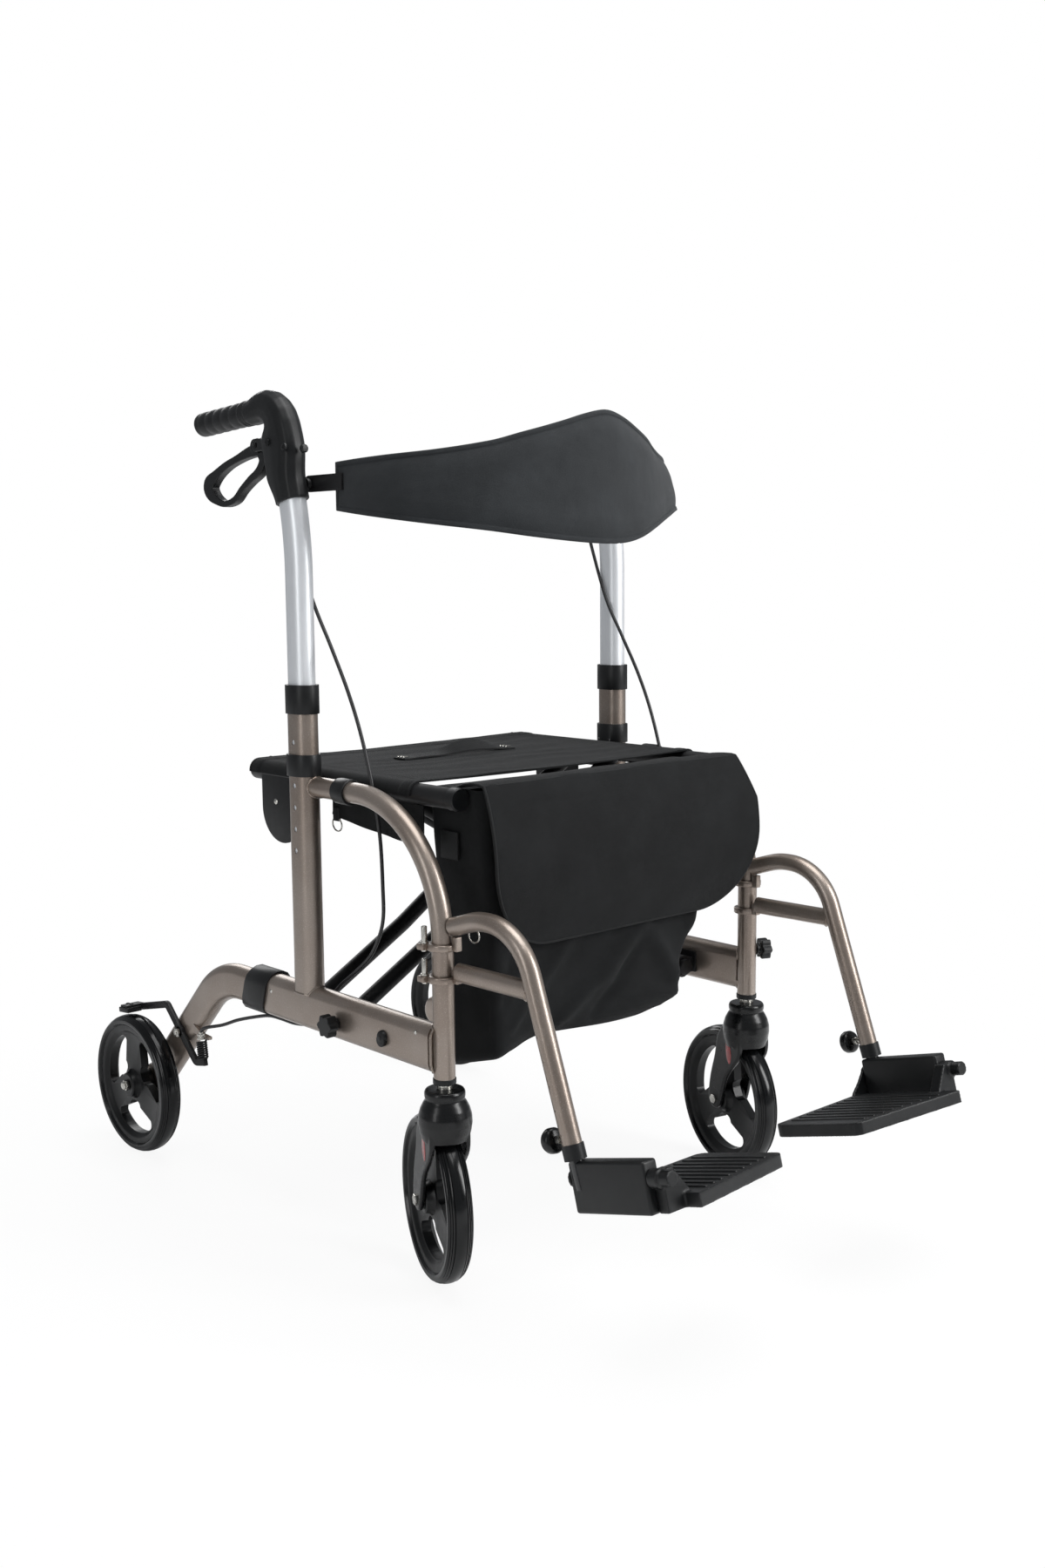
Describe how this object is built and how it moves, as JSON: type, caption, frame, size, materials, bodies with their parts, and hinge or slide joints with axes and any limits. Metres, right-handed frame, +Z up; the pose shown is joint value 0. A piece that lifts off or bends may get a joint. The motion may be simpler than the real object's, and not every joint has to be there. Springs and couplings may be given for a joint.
{
  "type": "rollator transport chair",
  "caption": "Folding rollator that turns into a transport chair, with sling seat, bag, flip-over backrest, hand brakes and swing-away footrests.",
  "frame": {"origin": "on the floor under the middle of the bounding box", "axes": "+Z up, the front faces -Y, the user's left side is -X"},
  "size_m": [0.638, 1.1312, 1.0491],
  "materials": {
    "bronze": "metallic bronze lacquer on aluminium tube",
    "silver": "satin anodised tube",
    "black_steel": "satin black powder coat",
    "spring_steel": "plated wire",
    "black_plastic": "moulded, fine texture",
    "grip_rubber": "ribbed, matt",
    "cable_sheath": "smooth sheath over a steel wire",
    "tyre": "solid tyre, semi-gloss",
    "black_cloth": "woven nylon",
    "grey_cloth": "woven nylon over foam, charcoal"
  },
  "bodies": {
    "left_frame": {"rail_left": "bronze", "rear_upright_left": "bronze", "front_post_left": "bronze", "leg_collar_left": "black_plastic", "rear_leg_left": "bronze", "upright_collar_left": "black_plastic", "seat_saddle_left": "black_plastic", "seat_clip_left": "black_plastic", "brace_bracket_left": "black_steel", "brake_cable_left": "cable_sheath", "brake_spring_left": "spring_steel"},
    "right_frame": {"rail_right": "bronze", "rear_upright_right": "bronze", "front_post_right": "bronze", "leg_collar_right": "black_plastic", "rear_leg_right": "bronze", "upright_collar_right": "black_plastic", "seat_saddle_right": "black_plastic", "seat_clip_right": "black_plastic", "brace_bracket_right": "black_steel", "brake_cable_right": "cable_sheath", "brake_spring_right": "spring_steel"},
    "brace_a": {"cross_brace_a": "black_steel"},
    "brace_b": {"cross_brace_b": "black_steel", "seat_sling": "black_cloth"},
    "bag": {"bag": "black_cloth"},
    "bag_flap": {"bag_flap": "black_cloth"},
    "rail_knob": {"rail_knob": "black_plastic"},
    "post_knob": {"post_knob": "black_plastic"},
    "handle_left": {"handle_tube_left": "silver", "handle_housing_left": "black_plastic", "hand_grip_left": "grip_rubber"},
    "handle_right": {"handle_tube_right": "silver", "handle_housing_right": "black_plastic", "hand_grip_right": "grip_rubber"},
    "backrest": {"backrest": "grey_cloth", "backrest_bracket_left": "black_steel"},
    "backrest_bracket_right": {"backrest_bracket_right": "black_steel"},
    "brake_lever_left": {"brake_lever_left": "black_plastic"},
    "brake_arm_left": {"brake_arm_left": "black_steel"},
    "caster_fork_left": {"caster_fork_left": "black_plastic"},
    "caster_wheel_left": {"caster_tyre_left": "tyre", "caster_rim_left": "black_plastic"},
    "rear_wheel_left": {"rear_tyre_left": "tyre", "rear_rim_left": "black_plastic"},
    "footrest_left": {"footrest_hanger_left": "bronze"},
    "footrest_leg_left": {"footrest_leg_left": "black_plastic"},
    "footrest_knob_left": {"footrest_knob_left": "black_plastic"},
    "footplate_left": {"footplate_left": "black_plastic"},
    "brake_lever_right": {"brake_lever_right": "black_plastic"},
    "brake_arm_right": {"brake_arm_right": "black_steel"},
    "caster_fork_right": {"caster_fork_right": "black_plastic"},
    "caster_wheel_right": {"caster_tyre_right": "tyre", "caster_rim_right": "black_plastic"},
    "rear_wheel_right": {"rear_tyre_right": "tyre", "rear_rim_right": "black_plastic"},
    "footrest_right": {"footrest_hanger_right": "bronze"},
    "footrest_leg_right": {"footrest_leg_right": "black_plastic"},
    "footrest_knob_right": {"footrest_knob_right": "black_plastic"},
    "footplate_right": {"footplate_right": "black_plastic"}
  },
  "joints": [
    {"name": "fold", "type": "hinge", "parent": "left_frame", "child": "brace_a", "pos_m": [-0.234, -0.01639, 0.285], "axis": [0, -1, 0], "range_deg": [0, 35], "deforming": ["seat_sling", "bag", "bag_flap", "backrest"]},
    {"name": "cross_pivot", "type": "hinge", "parent": "brace_a", "child": "brace_b", "pos_m": [0, -0.11039, 0.43], "axis": [0, -1, 0], "range_deg": [-70, 0]},
    {"name": "right_rail_hinge", "type": "hinge", "parent": "brace_b", "child": "right_frame", "pos_m": [0.234, -0.01639, 0.285], "axis": [0, -1, 0], "range_deg": [0, 35]},
    {"name": "bag_level", "type": "hinge", "parent": "brace_b", "child": "bag", "pos_m": [-0.234, -0.15339, 0.575], "axis": [0, -1, 0], "range_deg": [0, 35]},
    {"name": "bag_flap_hinge", "type": "hinge", "parent": "bag", "child": "bag_flap", "pos_m": [0, -0.18539, 0.5875], "axis": [-1, 0, 0], "range_deg": [0, 150]},
    {"name": "rail_knob_turn", "type": "hinge", "parent": "left_frame", "child": "rail_knob", "pos_m": [-0.284, -0.01639, 0.285], "axis": [1, 0, 0], "continuous": true},
    {"name": "post_knob_turn", "type": "hinge", "parent": "right_frame", "child": "post_knob", "pos_m": [0.267, -0.20339, 0.318], "axis": [0.9135, -0.4067, 0], "continuous": true},
    {"name": "handle_height_left", "type": "slide", "parent": "left_frame", "child": "handle_left", "axis": [0, 0, 1], "range_m": [-0.127, 0], "deforming": ["brake_cable_left"]},
    {"name": "handle_height_right", "type": "slide", "parent": "right_frame", "child": "handle_right", "axis": [0, 0, 1], "range_m": [-0.127, 0], "deforming": ["brake_cable_right"]},
    {"name": "backrest_flip", "type": "hinge", "parent": "handle_left", "child": "backrest", "pos_m": [-0.2465, 0.06561, 0.94], "axis": [-1, 0, 0], "range_deg": [0, 180]},
    {"name": "right_bracket_flip", "type": "hinge", "parent": "handle_right", "child": "backrest_bracket_right", "pos_m": [0.2465, 0.06561, 0.94], "axis": [-1, 0, 0], "range_deg": [0, 180]},
    {"name": "brake_lever_squeeze_left", "type": "hinge", "parent": "handle_left", "child": "brake_lever_left", "pos_m": [-0.271, 0.11461, 0.989], "axis": [1, 0, 0], "range_deg": [0, 14], "stiffness_Nm_per_rad": 0.6, "springref_deg": -8.59},
    {"name": "brake_arm_left", "type": "hinge", "parent": "left_frame", "child": "brake_arm_left", "pos_m": [-0.2965, 0.35661, 0.205], "axis": [1, 0, 0], "range_deg": [-1.45, 0], "deforming": ["brake_spring_left"]},
    {"name": "caster_swivel_left", "type": "hinge", "parent": "left_frame", "child": "caster_fork_left", "pos_m": [-0.267, -0.20339, 0.2525], "axis": [0, 0, 1], "continuous": true},
    {"name": "caster_wheel_spin_left", "type": "hinge", "parent": "caster_fork_left", "child": "caster_wheel_left", "pos_m": [-0.25202, -0.1663, 0.1], "axis": [0.9272, -0.3746, 0], "continuous": true},
    {"name": "rear_wheel_spin_left", "type": "hinge", "parent": "left_frame", "child": "rear_wheel_left", "pos_m": [-0.2965, 0.46561, 0.1], "axis": [1, 0, 0], "continuous": true},
    {"name": "footrest_swing_left", "type": "hinge", "parent": "left_frame", "child": "footrest_left", "pos_m": [-0.267, -0.20339, 0.4115], "axis": [0, 0, -1], "range_deg": [0, 90]},
    {"name": "footrest_length_left", "type": "slide", "parent": "footrest_left", "child": "footrest_leg_left", "axis": [0, -0.342, -0.9397], "range_m": [0, 0.08]},
    {"name": "footrest_plunger_left", "type": "slide", "parent": "footrest_left", "child": "footrest_knob_left", "axis": [0, 0.9397, -0.342], "range_m": [0, 0.008], "stiffness_N_per_m": 400, "springref_m": -0.004},
    {"name": "footplate_flip_left", "type": "hinge", "parent": "footrest_leg_left", "child": "footplate_left", "pos_m": [-0.258, -0.46686, 0.20986], "axis": [0, -0.9636, 0.2672], "range_deg": [0, 90]},
    {"name": "brake_lever_squeeze_right", "type": "hinge", "parent": "handle_right", "child": "brake_lever_right", "pos_m": [0.271, 0.11461, 0.989], "axis": [1, 0, 0], "range_deg": [0, 14], "stiffness_Nm_per_rad": 0.6, "springref_deg": -8.59},
    {"name": "brake_arm_right", "type": "hinge", "parent": "right_frame", "child": "brake_arm_right", "pos_m": [0.2965, 0.35661, 0.205], "axis": [1, 0, 0], "range_deg": [-1.45, 0], "deforming": ["brake_spring_right"]},
    {"name": "caster_swivel_right", "type": "hinge", "parent": "right_frame", "child": "caster_fork_right", "pos_m": [0.267, -0.20339, 0.2525], "axis": [0, 0, 1], "continuous": true},
    {"name": "caster_wheel_spin_right", "type": "hinge", "parent": "caster_fork_right", "child": "caster_wheel_right", "pos_m": [0.27735, -0.16475, 0.1], "axis": [0.9659, -0.2588, 0], "continuous": true},
    {"name": "rear_wheel_spin_right", "type": "hinge", "parent": "right_frame", "child": "rear_wheel_right", "pos_m": [0.2965, 0.46561, 0.1], "axis": [1, 0, 0], "continuous": true},
    {"name": "footrest_swing_right", "type": "hinge", "parent": "right_frame", "child": "footrest_right", "pos_m": [0.267, -0.20339, 0.4115], "axis": [0, 0, 1], "range_deg": [0, 90]},
    {"name": "footrest_length_right", "type": "slide", "parent": "footrest_right", "child": "footrest_leg_right", "axis": [0, -0.342, -0.9397], "range_m": [0, 0.08]},
    {"name": "footrest_plunger_right", "type": "slide", "parent": "footrest_right", "child": "footrest_knob_right", "axis": [0, 0.9397, -0.342], "range_m": [0, 0.008], "stiffness_N_per_m": 400, "springref_m": -0.004},
    {"name": "footplate_flip_right", "type": "hinge", "parent": "footrest_leg_right", "child": "footplate_right", "pos_m": [0.258, -0.46686, 0.20986], "axis": [0, 0.9636, -0.2672], "range_deg": [0, 90]}
  ],
  "couplings": [
    {"joint": "cross_pivot", "follows": "fold", "ratio": -2},
    {"joint": "right_rail_hinge", "follows": "fold", "ratio": 1},
    {"joint": "bag_level", "follows": "fold", "ratio": 1},
    {"joint": "handle_height_right", "follows": "handle_height_left", "ratio": 1},
    {"joint": "right_bracket_flip", "follows": "backrest_flip", "ratio": 1},
    {"joint": "brake_arm_left", "follows": "brake_lever_squeeze_left", "ratio": -0.10357},
    {"joint": "footplate_flip_left", "follows": "fold", "ratio": 2.5714},
    {"joint": "brake_arm_right", "follows": "brake_lever_squeeze_right", "ratio": -0.10357},
    {"joint": "footplate_flip_right", "follows": "fold", "ratio": 2.5714}
  ]
}
